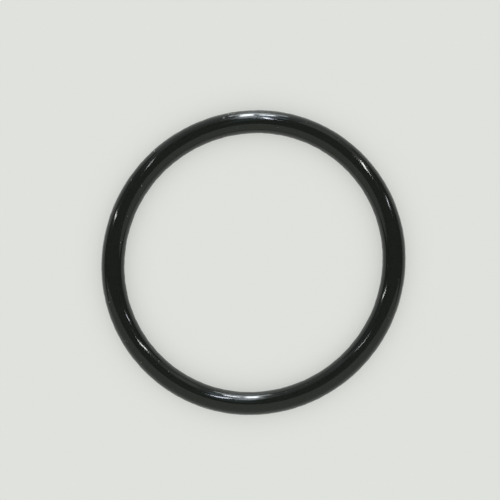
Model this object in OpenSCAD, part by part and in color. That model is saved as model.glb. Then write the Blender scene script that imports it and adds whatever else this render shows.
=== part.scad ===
// Rubber o-ring seal, moulded in one piece, lying flat as it comes to rest.
// Millimetres, with +Z up. The origin is the centre of the ring, at the height of its mould line,
// and +X runs along the longer way across.

/* [Seal] */
// Inside diameter as moulded, when the ring is round
inside_d = 39.7; // [12:0.1:120]
// Diameter of the round section
section_d = 3.5; // [1.5:0.1:6]

/* [Shape at rest] */
// How much longer than wide the slack ring lies
out_of_round = 1.1; // [0:0.1:3]

/* [Mould line] */
// How far the trimmed flash stands out of the section, inside and outside
flash_proud = 0.04; // [0.02:0.01:0.15]
// Thickness of the flash, where the two mould halves met
flash_t = 0.12; // [0.06:0.02:0.4]

/* [Hidden] */
$fn = 144;
rubber = [0.11, 0.11, 0.105];
quarter_turn = 90;
mean_r = (inside_d + section_d) / 2;

// The slack ring is an oval of four quarter circles. Their centres are the corners of a small square
// about the middle, so the arcs run smoothly into each other, and each centre moves its arc's radius
// by as much as it is off in X and Y. The wide and the tight arcs take turns, which keeps the length
// of rubber as it was moulded.
centre_off = out_of_round / 4 / (sqrt(2) - 1);

// The section, drawn where it stands on the round ring: a round cord with the flash on both sides.
module section() {
    translate([mean_r, 0]) {
        circle(d = section_d);
        square([section_d + 2 * flash_proud, flash_t], center = true);
    }
}

// One arc of the oval. Its centre is off by this much, away from the arc if positive.
module arc(off) {
    translate([-off, -off, 0])
        rotate_extrude(angle = quarter_turn)
            translate([off, 0])
                section();
}

// The whole ring, turned from the square's sides to its diagonals, so that X is the long way.
module o_ring() {
    color(rubber)
        rotate([0, 0, quarter_turn / 2])
            for (pair = [0, 2 * quarter_turn]) {
                rotate([0, 0, pair])
                    arc(centre_off);
                rotate([0, 0, pair + quarter_turn])
                    arc(-centre_off);
            }
}

o_ring();
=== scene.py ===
import math
import random

import bpy
from mathutils import Matrix, Vector


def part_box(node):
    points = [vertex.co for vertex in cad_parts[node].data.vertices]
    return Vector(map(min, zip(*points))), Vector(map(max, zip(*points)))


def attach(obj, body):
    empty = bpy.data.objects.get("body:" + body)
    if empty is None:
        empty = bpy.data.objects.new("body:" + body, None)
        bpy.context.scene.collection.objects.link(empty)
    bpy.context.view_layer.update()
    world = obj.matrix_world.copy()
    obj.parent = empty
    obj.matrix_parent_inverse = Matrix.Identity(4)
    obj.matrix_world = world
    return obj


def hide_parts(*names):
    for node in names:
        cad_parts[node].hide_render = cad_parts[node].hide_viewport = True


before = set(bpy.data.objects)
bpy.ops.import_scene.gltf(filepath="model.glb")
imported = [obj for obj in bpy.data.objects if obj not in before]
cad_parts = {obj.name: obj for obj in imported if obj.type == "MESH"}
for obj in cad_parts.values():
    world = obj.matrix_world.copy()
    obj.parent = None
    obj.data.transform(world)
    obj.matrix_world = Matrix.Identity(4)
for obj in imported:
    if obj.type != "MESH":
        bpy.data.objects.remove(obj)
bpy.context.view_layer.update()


# The ring
# A real o-ring is one piece of black nitrile rubber, cured between two mould halves. The halves meet at
# half its height, where a thin line of flash is trimmed off inside and outside. It has no other part.

MM = 0.001
ring_low, ring_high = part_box("o_ring")
ring_size = ring_high - ring_low
section_d = ring_size.z
flash_proud = 0.04 * MM
flash_t = 0.12 * MM
out_of_round = ring_size.x - ring_size.y
middle_r = (ring_size.x + ring_size.y) / 4 - section_d / 2 - flash_proud
centre_off = out_of_round / 4 / (math.sqrt(2) - 1)
steps_around = 800
steps_across = 104


def on_skin(bearing, section_angle, depth=0.0):
    """A place on the ring: degrees round it from +X, then round its section from the outermost line up."""
    turn, tilt = math.radians(bearing), math.radians(section_angle)
    reach = middle_r + out_of_round / 4 * math.cos(2 * turn) + (section_d / 2 - depth) * math.cos(tilt)
    return Vector((reach * math.cos(turn), reach * math.sin(turn), (section_d / 2 - depth) * math.sin(tilt)))


# Small nicks in the skin: where each is, how far it reaches and how deep it is.
nicks = [
    (on_skin(191.5, 14), 0.42 * MM, 0.07 * MM),
    (on_skin(204.5, 18), 0.38 * MM, 0.06 * MM),
    (on_skin(207.4, 10), 0.30 * MM, 0.06 * MM),
    (on_skin(238.1, 32), 0.34 * MM, 0.05 * MM),
    (on_skin(97.9, 113), 0.30 * MM, 0.04 * MM),
    (on_skin(53.5, 47), 0.34 * MM, 0.05 * MM),
    (on_skin(318.0, 205), 0.30 * MM, 0.05 * MM),
]
# A scuffed patch, roughest in its core and gone at its reach.
scuff_bearing, scuff_angle = 50.9, 35
scuffed_at = on_skin(scuff_bearing, scuff_angle)
scuff_depth = 0.018 * MM
scuff_core, scuff_reach = 0.2 * MM, 0.8 * MM
# How far the section sinks where the rubber shrank most.
sink_depth = 0.012 * MM


def rubber_tree():
    """The ring as a rule: a closed path of four arcs, and a round section set along it."""
    tree = bpy.data.node_groups.new("moulded_ring_rule", "GeometryNodeTree")
    for name, kind in (
        ("Middle Radius", "NodeSocketFloat"),
        ("Centre Off", "NodeSocketFloat"),
        ("Section Diameter", "NodeSocketFloat"),
        ("Flash Proud", "NodeSocketFloat"),
        ("Flash Thickness", "NodeSocketFloat"),
        ("Steps Around", "NodeSocketInt"),
        ("Steps Across", "NodeSocketInt"),
        ("Rubber", "NodeSocketMaterial"),
    ):
        tree.interface.new_socket(name, in_out="INPUT", socket_type=kind)
    tree.interface.new_socket("Ring", in_out="OUTPUT", socket_type="NodeSocketGeometry")
    nodes, links = tree.nodes, tree.links
    given = nodes.new("NodeGroupInput").outputs
    result = nodes.new("NodeGroupOutput").inputs

    def put(socket, value):
        if isinstance(value, bpy.types.NodeSocket):
            links.new(value, socket)
        else:
            socket.default_value = value

    def maths(operation, *values):
        node = nodes.new("ShaderNodeMath")
        node.operation = operation
        for socket, value in zip(node.inputs, values):
            put(socket, value)
        return node.outputs[0]

    def vector(operation, *values):
        node = nodes.new("ShaderNodeVectorMath")
        node.operation = operation
        for socket, value in zip(node.inputs, values):
            put(socket, value)
        return node.outputs["Value" if operation == "LENGTH" else "Vector"]

    def xyz(x, y, z):
        node = nodes.new("ShaderNodeCombineXYZ")
        for socket, value in zip(node.inputs, (x, y, z)):
            put(socket, value)
        return node.outputs[0]

    def parts(value):
        node = nodes.new("ShaderNodeSeparateXYZ")
        links.new(value, node.inputs[0])
        return node.outputs

    def smooth(value, low, high, at_low, at_high):
        node = nodes.new("ShaderNodeMapRange")
        node.interpolation_type = "SMOOTHSTEP"
        for socket, v in zip(node.inputs, (value, low, high, at_low, at_high)):
            put(socket, v)
        return node.outputs[0]

    def noise(place, scale, detail):
        node = nodes.new("ShaderNodeTexNoise")
        put(node.inputs["Vector"], place)
        node.inputs["Scale"].default_value = scale
        node.inputs["Detail"].default_value = detail
        return node.outputs[0]

    def moved(geometry, to=None, by=None):
        node = nodes.new("GeometryNodeSetPosition")
        links.new(geometry, node.inputs["Geometry"])
        if to is not None:
            put(node.inputs["Position"], to)
        if by is not None:
            put(node.inputs["Offset"], by)
        return node.outputs[0]

    def stored(geometry, value, kind):
        node = nodes.new("GeometryNodeCaptureAttribute")
        node.capture_items.new(kind, "kept")
        links.new(geometry, node.inputs["Geometry"])
        links.new(value, node.inputs[1])
        return node.outputs["Geometry"], node.outputs[1]

    # The path. Each point's angle picks the arc it belongs to, and so the arc's centre and radius.
    round_path = nodes.new("GeometryNodeCurvePrimitiveCircle")
    links.new(given["Steps Around"], round_path.inputs["Resolution"])
    index = nodes.new("GeometryNodeInputIndex").outputs[0]
    angle = maths("MULTIPLY", maths("DIVIDE", index, given["Steps Around"]), math.tau)
    cosine, sine = maths("COSINE", angle), maths("SINE", angle)
    side_x, side_y = maths("SIGN", cosine), maths("SIGN", sine)
    off = given["Centre Off"]
    arc_r = maths("ADD", given["Middle Radius"], maths("MULTIPLY", off, maths("MULTIPLY", side_x, side_y)))
    on_diagonals = xyz(
        maths("SUBTRACT", maths("MULTIPLY", arc_r, cosine), maths("MULTIPLY", off, side_y)),
        maths("SUBTRACT", maths("MULTIPLY", arc_r, sine), maths("MULTIPLY", off, side_x)),
        0.0,
    )
    turned = nodes.new("ShaderNodeVectorRotate")
    turned.rotation_type = "Z_AXIS"
    links.new(on_diagonals, turned.inputs["Vector"])
    turned.inputs["Angle"].default_value = math.radians(45)
    path = moved(round_path.outputs["Curve"], to=turned.outputs[0])
    position = nodes.new("GeometryNodeInputPosition").outputs[0]
    path, middle = stored(path, position, "VECTOR")
    upright = nodes.new("GeometryNodeSetCurveNormal")
    upright.mode = "Z_UP"
    links.new(path, upright.inputs["Curve"])

    # The section. Its steps are closer together at the mould line, where the flash needs them.
    crowding = 0.42
    round_section = nodes.new("GeometryNodeCurvePrimitiveCircle")
    links.new(given["Steps Across"], round_section.inputs["Resolution"])
    turn = maths("MULTIPLY", maths("DIVIDE", index, given["Steps Across"]), math.tau)
    tilt = maths("SUBTRACT", turn, maths("MULTIPLY", crowding, maths("SINE", maths("MULTIPLY", turn, 2.0))))
    section_r = maths("DIVIDE", given["Section Diameter"], 2.0)
    section = moved(
        round_section.outputs["Curve"],
        to=xyz(
            maths("MULTIPLY", section_r, maths("COSINE", tilt)),
            maths("MULTIPLY", section_r, maths("SINE", tilt)),
            0.0,
        ),
    )
    swept = nodes.new("GeometryNodeCurveToMesh")
    links.new(upright.outputs["Curve"], swept.inputs["Curve"])
    links.new(section, swept.inputs["Profile Curve"])

    # The flash. It stands out where the section is at the mould line, and its trimmed edge is uneven.
    outward = vector("NORMALIZE", vector("SUBTRACT", position, middle))
    height = maths("ABSOLUTE", parts(position)[2])
    at_line = smooth(
        height,
        maths("MULTIPLY", given["Flash Thickness"], 0.25),
        maths("MULTIPLY", given["Flash Thickness"], 0.75),
        1.0,
        0.0,
    )
    trimmed = smooth(noise(position, 900.0, 3.0), 0.3, 0.62, 0.25, 1.0)
    stand = maths("MULTIPLY", given["Flash Proud"], maths("MULTIPLY", at_line, trimmed))
    # Cured rubber is never quite true: the section sinks a little here and there.
    sink = maths("MULTIPLY", noise(position, 160.0, 2.0), -sink_depth)
    for place, reach, depth in nicks:
        away = vector("LENGTH", vector("SUBTRACT", position, tuple(place)))
        sink = maths("ADD", sink, smooth(away, 0.0, reach, -depth, 0.0))
    from_scuff = vector("LENGTH", vector("SUBTRACT", position, tuple(scuffed_at)))
    rough = smooth(noise(position, 3000.0, 2.0), 0.42, 0.60, -scuff_depth, 0.0)
    sink = maths("ADD", sink, maths("MULTIPLY", rough, smooth(from_scuff, scuff_core, scuff_reach, 1.0, 0.0)))
    shift = nodes.new("ShaderNodeVectorMath")
    shift.operation = "SCALE"
    links.new(outward, shift.inputs[0])
    links.new(maths("ADD", stand, sink), shift.inputs["Scale"])
    flashed = moved(swept.outputs[0], by=shift.outputs[0])

    # How far each point is in or out from the middle line, which the material's turning marks follow.
    level = (1.0, 1.0, 0.0)
    out_from_middle = maths(
        "SUBTRACT",
        vector("LENGTH", vector("MULTIPLY", position, level)),
        vector("LENGTH", vector("MULTIPLY", middle, level)),
    )
    named = nodes.new("GeometryNodeStoreNamedAttribute")
    named.data_type = "FLOAT"
    named.domain = "POINT"
    named.inputs["Name"].default_value = "across"
    links.new(flashed, named.inputs["Geometry"])
    links.new(out_from_middle, named.inputs["Value"])
    flashed = named.outputs[0]

    shaded = nodes.new("GeometryNodeSetShadeSmooth")
    links.new(flashed, shaded.inputs["Geometry"])
    whole = nodes.new("GeometryNodeRealizeInstances")
    links.new(shaded.outputs[0], whole.inputs[0])
    finish = nodes.new("GeometryNodeSetMaterial")
    links.new(whole.outputs[0], finish.inputs["Geometry"])
    links.new(given["Rubber"], finish.inputs["Material"])
    links.new(finish.outputs[0], result[0])
    return tree


def black_rubber():
    """Cured nitrile rubber: nearly black, a soft gloss, and the mould's fine turning marks along the ring."""
    material = bpy.data.materials.new("black_rubber")
    material.use_nodes = True
    nodes, links = material.node_tree.nodes, material.node_tree.links

    def product(first, second):
        node = nodes.new("ShaderNodeMath")
        node.operation = "MULTIPLY"
        for socket, value in zip(node.inputs, (first, second)):
            if isinstance(value, bpy.types.NodeSocket):
                links.new(value, socket)
            else:
                socket.default_value = value
        return node.outputs[0]

    def total(first, second):
        node = nodes.new("ShaderNodeMath")
        links.new(first, node.inputs[0])
        links.new(second, node.inputs[1])
        return node.outputs[0]

    surface = nodes["Principled BSDF"]
    surface.inputs["IOR"].default_value = 1.5
    place = nodes.new("ShaderNodeTexCoord").outputs["Object"]

    # Turning marks run round the ring, so their pattern changes fast across the section, slowly along it.
    split = nodes.new("ShaderNodeSeparateXYZ")
    links.new(place, split.inputs[0])
    flat = nodes.new("ShaderNodeCombineXYZ")
    links.new(split.outputs[0], flat.inputs[0])
    links.new(split.outputs[1], flat.inputs[1])
    heading = nodes.new("ShaderNodeVectorMath")
    heading.operation = "NORMALIZE"
    links.new(flat.outputs[0], heading.inputs[0])
    slow = nodes.new("ShaderNodeVectorMath")
    slow.operation = "SCALE"
    slow.inputs["Scale"].default_value = 3 * MM
    links.new(heading.outputs[0], slow.inputs[0])
    stored = nodes.new("ShaderNodeAttribute")
    stored.attribute_name = "across"
    across = nodes.new("ShaderNodeCombineXYZ")
    links.new(stored.outputs["Fac"], across.inputs[2])
    along = nodes.new("ShaderNodeVectorMath")
    links.new(slow.outputs[0], along.inputs[0])
    links.new(across.outputs[0], along.inputs[1])
    marks = nodes.new("ShaderNodeTexNoise")
    marks.noise_dimensions = "4D"
    marks.inputs["Scale"].default_value = 5200.0
    marks.inputs["Detail"].default_value = 3.0
    links.new(along.outputs[0], marks.inputs["Vector"])
    links.new(split.outputs[2], marks.inputs["W"])

    grain = nodes.new("ShaderNodeTexNoise")
    grain.inputs["Scale"].default_value = 14000.0
    grain.inputs["Detail"].default_value = 3.0
    links.new(place, grain.inputs["Vector"])
    cloud = nodes.new("ShaderNodeTexNoise")
    cloud.inputs["Scale"].default_value = 1300.0
    cloud.inputs["Detail"].default_value = 4.0
    links.new(place, cloud.inputs["Vector"])

    # Carbon black and oil come to the skin unevenly: a cloudy tone with a fine speckle, a fifth of a
    # millimetre across.
    speckle = nodes.new("ShaderNodeTexNoise")
    speckle.inputs["Scale"].default_value = 5200.0
    speckle.inputs["Detail"].default_value = 2.0
    links.new(place, speckle.inputs["Vector"])
    spread = nodes.new("ShaderNodeMapRange")
    spread.inputs["From Min"].default_value = 0.34
    spread.inputs["From Max"].default_value = 0.66
    links.new(speckle.outputs[0], spread.inputs["Value"])
    mottle = nodes.new("ShaderNodeMix")
    mottle.inputs[0].default_value = 0.7
    links.new(cloud.outputs[0], mottle.inputs[2])
    links.new(spread.outputs[0], mottle.inputs[3])
    tone = nodes.new("ShaderNodeMix")
    tone.data_type = "RGBA"
    tone.inputs[6].default_value = (0.0028, 0.0037, 0.0026, 1.0)
    tone.inputs[7].default_value = (0.0110, 0.0134, 0.0099, 1.0)
    links.new(mottle.outputs[0], tone.inputs[0])
    links.new(tone.outputs[2], surface.inputs["Base Color"])
    gloss = nodes.new("ShaderNodeMapRange")
    gloss.inputs["From Min"].default_value = 0.3
    gloss.inputs["From Max"].default_value = 0.7
    gloss.inputs["To Min"].default_value = 0.078
    gloss.inputs["To Max"].default_value = 0.092
    links.new(cloud.outputs[0], gloss.inputs["Value"])
    links.new(gloss.outputs[0], surface.inputs["Roughness"])

    # A slack ring is never quite flat. Its skin leans along its length by up to a degree and a half, one way
    # and back twice in a turn, which moves the streaks of light a little.
    lean, lean_from_deg = 0.026, -27.6
    across_way = nodes.new("ShaderNodeSeparateXYZ")
    links.new(heading.outputs[0], across_way.inputs[0])
    hx, hy = across_way.outputs[0], across_way.outputs[1]
    sine_part = product(product(hx, hy), 2 * lean * math.cos(math.radians(2 * lean_from_deg)))
    cosine_part = product(
        total(product(hx, hx), product(product(hy, hy), -1.0)),
        -lean * math.sin(math.radians(2 * lean_from_deg)),
    )
    skin = nodes.new("ShaderNodeNewGeometry").outputs["Normal"]
    skin_parts = nodes.new("ShaderNodeSeparateXYZ")
    links.new(skin, skin_parts.inputs[0])
    slope = product(total(sine_part, cosine_part), skin_parts.outputs[2])
    push = nodes.new("ShaderNodeCombineXYZ")
    links.new(product(slope, hy), push.inputs[0])
    links.new(product(product(slope, hx), -1.0), push.inputs[1])
    leaning = nodes.new("ShaderNodeVectorMath")
    links.new(skin, leaning.inputs[0])
    links.new(push.outputs[0], leaning.inputs[1])
    levelled = nodes.new("ShaderNodeVectorMath")
    levelled.operation = "NORMALIZE"
    links.new(leaning.outputs[0], levelled.inputs[0])

    turning = nodes.new("ShaderNodeBump")
    links.new(levelled.outputs[0], turning.inputs["Normal"])
    turning.inputs["Strength"].default_value = 0.035
    turning.inputs["Distance"].default_value = 0.006 * MM
    links.new(marks.outputs[0], turning.inputs["Height"])
    peel = nodes.new("ShaderNodeBump")
    peel.inputs["Strength"].default_value = 0.035
    peel.inputs["Distance"].default_value = 0.006 * MM
    links.new(cloud.outputs[0], peel.inputs["Height"])
    links.new(turning.outputs[0], peel.inputs["Normal"])
    pores = nodes.new("ShaderNodeBump")
    pores.inputs["Strength"].default_value = 0.015
    pores.inputs["Distance"].default_value = 0.002 * MM
    links.new(grain.outputs[0], pores.inputs["Height"])
    links.new(peel.outputs[0], pores.inputs["Normal"])
    links.new(pores.outputs[0], surface.inputs["Normal"])
    return material


rule = rubber_tree()
blank = bpy.data.objects.new("ring_blank", bpy.data.meshes.new("ring_blank"))
bpy.context.scene.collection.objects.link(blank)
growth = blank.modifiers.new("ring", "NODES")
growth.node_group = rule
wanted = {
    "Middle Radius": middle_r,
    "Centre Off": centre_off,
    "Section Diameter": section_d,
    "Flash Proud": flash_proud,
    "Flash Thickness": flash_t,
    "Steps Around": steps_around,
    "Steps Across": steps_across,
    "Rubber": black_rubber(),
}
for item in rule.interface.items_tree:
    if item.in_out == "INPUT":
        growth[item.identifier] = wanted[item.name]
bpy.context.view_layer.update()
grown = blank.evaluated_get(bpy.context.evaluated_depsgraph_get())
ring = bpy.data.objects.new("moulded_ring", bpy.data.meshes.new_from_object(grown))
bpy.context.scene.collection.objects.link(ring)
blank.modifiers.remove(growth)
bpy.data.objects.remove(blank)
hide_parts("o_ring")
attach(ring, "root")


# The dust
# Pale grains of house dust and grit cling to the rubber, with a little cluster on the scuffed place near the
# picture's top. Each is an irregular speck of its own, between 0.03 and 0.2 mm across.

dust_luck = random.Random(7)
clustered, strewn = 18, 80
# The larger grains: where each is, and half its size in millimetres.
grains = [
    (on_skin(84.0, 31, -0.03 * MM), 0.110),
    (on_skin(91.5, 82, 0.10 * MM), 0.070),
    (on_skin(98.3, 47), 0.052),
    (on_skin(99.0, 90, 0.08 * MM), 0.050),
    (on_skin(97.9, 113), 0.045),
    (on_skin(123.8, 125), 0.048),
    (on_skin(174.0, 53), 0.048),
    (on_skin(163.7, 52), 0.042),
    (on_skin(146.0, 70, 0.04 * MM), 0.045),
    (on_skin(147.7, 52), 0.050),
    (on_skin(51.9, 31, -0.01 * MM), 0.070),
    (on_skin(49.9, 36), 0.055),
    (on_skin(178.6, 127), 0.045),
]
for count in range(clustered):
    place = on_skin(dust_luck.gauss(scuff_bearing, 1.3), dust_luck.gauss(scuff_angle, 8))
    grains.append((place, dust_luck.uniform(0.014, 0.032)))
for count in range(strewn):
    side = dust_luck.choice((0, 100))
    place = on_skin(dust_luck.uniform(0, 360), dust_luck.uniform(14, 66) + side)
    grains.append((place, dust_luck.uniform(0.012, 0.030)))


def dust_tree():
    """Dust as a rule: an uneven ball at each given point, with its own size and turn."""
    tree = bpy.data.node_groups.new("dust_rule", "GeometryNodeTree")
    tree.interface.new_socket("Points", in_out="INPUT", socket_type="NodeSocketGeometry")
    tree.interface.new_socket("Grain Seed", in_out="INPUT", socket_type="NodeSocketInt")
    tree.interface.new_socket("Dust", in_out="INPUT", socket_type="NodeSocketMaterial")
    tree.interface.new_socket("Grains", in_out="OUTPUT", socket_type="NodeSocketGeometry")
    nodes, links = tree.nodes, tree.links
    given = nodes.new("NodeGroupInput").outputs
    result = nodes.new("NodeGroupOutput").inputs
    ball = nodes.new("GeometryNodeMeshIcoSphere")
    ball.inputs["Radius"].default_value = 1.0
    ball.inputs["Subdivisions"].default_value = 2
    size = nodes.new("GeometryNodeInputNamedAttribute")
    size.data_type = "FLOAT"
    size.inputs["Name"].default_value = "grain_size"
    squash = nodes.new("FunctionNodeRandomValue")
    squash.data_type = "FLOAT_VECTOR"
    squash.inputs["Min"].default_value = (0.65, 0.65, 0.65)
    squash.inputs["Max"].default_value = (1.25, 1.25, 1.25)
    links.new(given["Grain Seed"], squash.inputs["Seed"])
    grown = nodes.new("ShaderNodeVectorMath")
    grown.operation = "SCALE"
    links.new(squash.outputs["Value"], grown.inputs[0])
    links.new(size.outputs["Attribute"], grown.inputs["Scale"])
    turn = nodes.new("FunctionNodeRandomValue")
    turn.data_type = "FLOAT_VECTOR"
    turn.inputs["Max"].default_value = (math.tau, math.tau, math.tau)
    links.new(given["Grain Seed"], turn.inputs["Seed"])
    placed = nodes.new("GeometryNodeInstanceOnPoints")
    links.new(given["Points"], placed.inputs["Points"])
    links.new(ball.outputs["Mesh"], placed.inputs["Instance"])
    links.new(turn.outputs["Value"], placed.inputs["Rotation"])
    links.new(grown.outputs[0], placed.inputs["Scale"])
    whole = nodes.new("GeometryNodeRealizeInstances")
    links.new(placed.outputs[0], whole.inputs[0])
    lumps = nodes.new("ShaderNodeTexNoise")
    lumps.inputs["Scale"].default_value = 16000.0
    position = nodes.new("GeometryNodeInputPosition")
    links.new(position.outputs[0], lumps.inputs["Vector"])
    middling = nodes.new("ShaderNodeVectorMath")
    middling.operation = "SUBTRACT"
    middling.inputs[1].default_value = (0.5, 0.5, 0.5)
    links.new(lumps.outputs["Color"], middling.inputs[0])
    little = nodes.new("ShaderNodeVectorMath")
    little.operation = "SCALE"
    little.inputs["Scale"].default_value = 0.04 * MM
    links.new(middling.outputs[0], little.inputs[0])
    uneven = nodes.new("GeometryNodeSetPosition")
    links.new(whole.outputs[0], uneven.inputs["Geometry"])
    links.new(little.outputs[0], uneven.inputs["Offset"])
    finish = nodes.new("GeometryNodeSetMaterial")
    links.new(uneven.outputs[0], finish.inputs["Geometry"])
    links.new(given["Dust"], finish.inputs["Material"])
    links.new(finish.outputs[0], result[0])
    return tree


grey_dust = bpy.data.materials.new("grey_dust")
grey_dust.use_nodes = True
dust_surface = grey_dust.node_tree.nodes["Principled BSDF"]
dust_surface.inputs["Base Color"].default_value = (0.50, 0.51, 0.49, 1.0)
dust_surface.inputs["Roughness"].default_value = 0.95
dust_rule = dust_tree()
seeds = bpy.data.meshes.new("dust_points")
seeds.from_pydata([tuple(place) for place, size in grains], [], [])
grain_sizes = seeds.attributes.new("grain_size", "FLOAT", "POINT")
for number, (place, size) in enumerate(grains):
    grain_sizes.data[number].value = size * MM
dust_blank = bpy.data.objects.new("dust_blank", seeds)
bpy.context.scene.collection.objects.link(dust_blank)
scatter = dust_blank.modifiers.new("dust", "NODES")
scatter.node_group = dust_rule
dust_wanted = {"Grain Seed": 3, "Dust": grey_dust}
for item in dust_rule.interface.items_tree:
    if item.in_out == "INPUT" and item.name in dust_wanted:
        scatter[item.identifier] = dust_wanted[item.name]
bpy.context.view_layer.update()
scattered = dust_blank.evaluated_get(bpy.context.evaluated_depsgraph_get())
dust = bpy.data.objects.new("dust", bpy.data.meshes.new_from_object(scattered))
bpy.context.scene.collection.objects.link(dust)
dust_blank.modifiers.remove(scatter)
bpy.data.objects.remove(dust_blank)
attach(dust, "root")


# The floor
# A plain pale matt sheet, far wider than the view, for the ring to lie on. What the rubber mirrors of it has
# a soft gloss. A share of its paleness is its own light, so that the ring's shadow on it stays light.

floor_half = 0.9
floor_mesh = bpy.data.meshes.new("floor")
corners = [(-1, -1), (1, -1), (1, 1), (-1, 1)]
floor_points = [(x * floor_half, y * floor_half, ring_low.z) for x, y in corners]
floor_mesh.from_pydata(floor_points, [], [(0, 1, 2, 3)])
floor = bpy.data.objects.new("floor", floor_mesh)
bpy.context.scene.collection.objects.link(floor)
pale = bpy.data.materials.new("pale_floor")
pale.use_nodes = True
floor_nodes, floor_links = pale.node_tree.nodes, pale.node_tree.links
own_light_seen, own_light_mirrored = 0.55, 0.4
matt = floor_nodes["Principled BSDF"]
matt.inputs["Base Color"].default_value = (0.75, 0.77, 0.73, 1.0)
matt.inputs["Roughness"].default_value = 0.9
matt.inputs["Specular IOR Level"].default_value = 0.2
satin = floor_nodes.new("ShaderNodeBsdfPrincipled")
satin.inputs["Base Color"].default_value = (0.59, 0.605, 0.567, 1.0)
satin.inputs["Roughness"].default_value = 0.38
satin.inputs["Specular IOR Level"].default_value = 0.85
ray = floor_nodes.new("ShaderNodeLightPath")
sheet = floor_nodes.new("ShaderNodeMixShader")
floor_links.new(ray.outputs["Is Glossy Ray"], sheet.inputs[0])
floor_links.new(matt.outputs[0], sheet.inputs[1])
floor_links.new(satin.outputs[0], sheet.inputs[2])
own_light = floor_nodes.new("ShaderNodeEmission")
own_light.inputs["Color"].default_value = (0.735, 0.752, 0.720, 1.0)
seen = floor_nodes.new("ShaderNodeMath")
seen.operation = "MULTIPLY"
seen.inputs[1].default_value = own_light_seen
floor_links.new(ray.outputs["Is Camera Ray"], seen.inputs[0])
mirrored_or_through = floor_nodes.new("ShaderNodeMath")
mirrored_or_through.operation = "MAXIMUM"
floor_links.new(ray.outputs["Is Glossy Ray"], mirrored_or_through.inputs[0])
floor_links.new(ray.outputs["Is Transmission Ray"], mirrored_or_through.inputs[1])
mirrored = floor_nodes.new("ShaderNodeMath")
mirrored.operation = "MULTIPLY"
mirrored.inputs[1].default_value = own_light_mirrored
floor_links.new(mirrored_or_through.outputs[0], mirrored.inputs[0])
share = floor_nodes.new("ShaderNodeMath")
floor_links.new(seen.outputs[0], share.inputs[0])
floor_links.new(mirrored.outputs[0], share.inputs[1])
lit = floor_nodes.new("ShaderNodeMixShader")
floor_links.new(share.outputs[0], lit.inputs[0])
floor_links.new(sheet.outputs[0], lit.inputs[1])
floor_links.new(own_light.outputs[0], lit.inputs[2])
floor_links.new(lit.outputs[0], floor_nodes["Material Output"].inputs["Surface"])
floor_mesh.materials.append(pale)


# The camera
# It looks straight down on the ring. The picture's scale and the ring's place in it are the photograph's,
# and so is the way that the ring's longer side points, up and to the right.

picture_px = 500
px_per_mm = 6.515
ring_at_px = (253.52, 262.60)
long_way_deg = 47.6
camera_height = 0.23

to_picture = Matrix.Rotation(math.radians(-long_way_deg), 3, "Z")
right, up = to_picture @ Vector((1, 0, 0)), to_picture @ Vector((0, 1, 0))
aim_px = (picture_px / 2 - ring_at_px[0], ring_at_px[1] - picture_px / 2)
aim = (right * aim_px[0] + up * aim_px[1]) * MM / px_per_mm
camera_data = bpy.data.cameras.new("camera")
camera_data.sensor_width = 36.0
view_width = picture_px / px_per_mm * MM
camera_data.lens = camera_data.sensor_width * camera_height / view_width
camera_data.clip_start = 0.01
camera_data.clip_end = 10.0
camera = bpy.data.objects.new("camera", camera_data)
camera.matrix_world = to_picture.to_4x4()
camera.location = aim + Vector((0, 0, camera_height))
bpy.context.scene.collection.objects.link(camera)
bpy.context.scene.camera = camera


# The lights
# One wide soft panel above lights every matt surface, and nothing mirrors it. All the others are only
# mirrored: small bright lamps are the short streaks in the rubber's gloss, and wide dim ones are the haze
# round them and the paler bands along the ring. A low panel on the picture's lower side is the widest band.


def lamp(name, bearing, from_above, distance, wide, tall, brightness, colour=(1.0, 1.0, 1.0), slant=0.0):
    """A flat lamp that faces the ring, placed by its bearing in the picture and its angle from overhead."""
    turn, lean = math.radians(bearing), math.radians(from_above)
    flat_way = right * math.cos(turn) + up * math.sin(turn)
    way = flat_way * math.sin(lean) + Vector((0, 0, 1)) * math.cos(lean)
    data = bpy.data.lights.new(name, "AREA")
    data.shape = "RECTANGLE"
    data.size, data.size_y = wide, tall
    data.energy = brightness * math.pi * wide * tall
    data.color = colour
    obj = bpy.data.objects.new(name, data)
    side = way.cross(Vector((0, 0, 1))).normalized() if from_above else right
    top = side.cross(way)
    squared = Matrix((side, -top, way)).transposed()
    obj.matrix_world = (squared @ Matrix.Rotation(math.radians(slant), 3, "Z")).to_4x4()
    obj.location = way * distance
    obj.visible_camera = False
    bpy.context.scene.collection.objects.link(obj)
    return obj


overhead = lamp("overhead_panel", 90, 0, 0.5, 1.7, 1.7, 1.12)
overhead.visible_glossy = False
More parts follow.
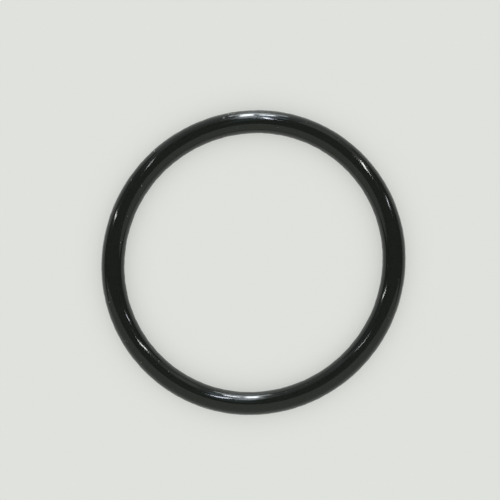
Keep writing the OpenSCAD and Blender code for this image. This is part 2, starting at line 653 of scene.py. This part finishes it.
# Each lamp: bearing, angle from overhead, distance, width, height, brightness, colour and slant.
gloss_lamps = [
    lamp("low_panel", 270, 52.5, 0.09, 0.6, 0.133, 0.42, (0.98, 1.03, 0.93)),
    lamp("upper_glow", 90, 69, 0.5, 0.12, 0.50, 2.0, (0.90, 1.0, 1.05)),
    lamp("upper_haze", 90, 84, 0.5, 0.9, 0.20, 0.4, (0.90, 1.0, 1.03)),
    lamp("upper_low", 88, 84, 0.5, 0.21, 0.10, 5.2, (0.93, 1.0, 1.03)),
    lamp("upper_wide", 96, 62, 0.5, 0.80, 0.26, 0.24, (0.92, 1.0, 1.0)),
    lamp("upper_blue", 89, 26, 0.5, 0.05, 0.26, 0.30, (0.70, 1.05, 1.20)),
    lamp("upper_middle", 91.5, 46, 0.5, 0.045, 0.16, 3.1, (0.90, 0.97, 1.06)),
    lamp("upper_between", 82, 53, 0.5, 0.10, 0.12, 1.0, (0.74, 0.99, 1.27)),
    lamp("upper_beside", 98, 58, 0.5, 0.08, 0.10, 0.45, (0.95, 1.0, 1.03)),
    lamp("upper_lamp_left", 92.7, 70, 0.5, 0.044, 0.19, 23, (0.95, 1.0, 1.03)),
    lamp("upper_lamp_right", 84.0, 69, 0.5, 0.056, 0.06, 31, (0.93, 0.99, 1.05)),
    lamp("steep_lamp", 82.2, 36.5, 0.5, 0.013, 0.14, 33, (0.90, 0.95, 1.08), 9),
    lamp("right_lamp", 38.0, 43, 0.5, 0.010, 0.19, 36, (0.99, 1.02, 0.99), 8),
    lamp("far_right_lamp", 22.2, 53, 0.5, 0.009, 0.12, 21, (0.97, 0.97, 1.06), 12),
    lamp("left_lamp", 139.5, 39.5, 0.5, 0.007, 0.13, 18, (0.98, 1.0, 1.02), -13),
    lamp("far_left_lamp", 163.2, 61, 0.5, 0.010, 0.14, 26, (0.99, 1.02, 0.98), -8),
    lamp("right_glow", 53, 62, 0.5, 0.26, 0.26, 0.35, (1.04, 1.0, 0.90)),
    lamp("left_glow", 146, 70, 0.5, 0.35, 0.30, 0.09, (0.85, 1.0, 1.2)),
]
for mirrored_only in gloss_lamps:
    mirrored_only.visible_diffuse = False

# The room's own dim light, from all round.
world = bpy.data.worlds.new("room")
world.use_nodes = True
world.node_tree.nodes["Background"].inputs["Color"].default_value = (0.12, 0.125, 0.12, 1.0)
bpy.context.scene.world = world
bpy.context.scene.view_settings.view_transform = "Standard"
